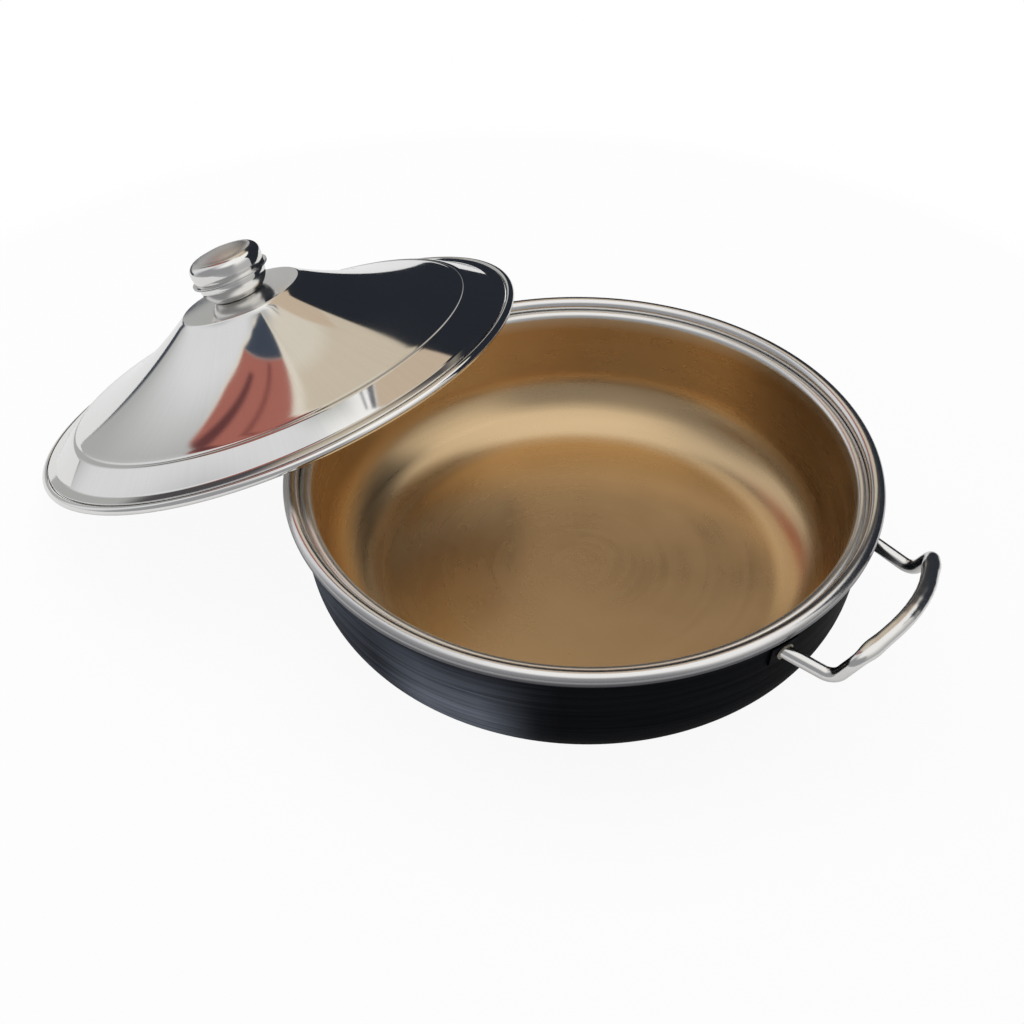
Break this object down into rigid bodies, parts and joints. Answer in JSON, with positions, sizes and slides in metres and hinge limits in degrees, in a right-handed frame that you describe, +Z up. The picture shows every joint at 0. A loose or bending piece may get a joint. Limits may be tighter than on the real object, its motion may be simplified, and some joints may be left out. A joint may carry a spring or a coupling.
{
  "type": "insulated casserole",
  "caption": "Low round insulated casserole: open steel bowl in a black shell with arched rod handles, and a loose hollow-flanked steel lid with a knob, leaning on one handle.",
  "frame": {"origin": "centre of the pot's foot, on the surface it stands on", "axes": "+Z up along the pot's axis, +X through the free handle; the lid leans over the handle at -X"},
  "size_m": [0.444, 0.26, 0.1165],
  "materials": {
    "polished_steel": "polished",
    "satin_steel": "satin",
    "black_lacquer": "gloss",
    "rigid_foam": "matte",
    "black_plastic": "matte",
    "black_rubber": "matte",
    "plated_steel": "satin"
  },
  "bodies": {
    "pot": {"inner_bowl": "satin_steel", "outer_shell": "black_lacquer", "pot_insulation": "rigid_foam", "rim_ring": "polished_steel", "base_cover": "black_plastic", "foot_ring": "black_rubber", "foam_plug": "black_plastic", "base_screws": "plated_steel", "right_handle": "polished_steel", "right_handle_welds": "satin_steel", "right_handle_front_pad": "black_lacquer", "right_handle_rear_pad": "black_lacquer", "left_handle": "polished_steel", "left_handle_welds": "satin_steel", "left_handle_front_pad": "black_lacquer", "left_handle_rear_pad": "black_lacquer"},
    "lid": {"lid_outer_shell": "polished_steel", "lid_edge_ring": "polished_steel", "lid_liner": "satin_steel", "lid_insulation": "rigid_foam", "knob_cup": "polished_steel", "knob_cap": "polished_steel", "knob_bush": "plated_steel", "knob_screw": "plated_steel", "knob_washer": "plated_steel"}
  },
  "joints": [
    {"name": "lid_lift", "type": "slide", "parent": "pot", "child": "lid", "axis": [0, 0, 1], "range_m": [0, 0.12]}
  ]
}
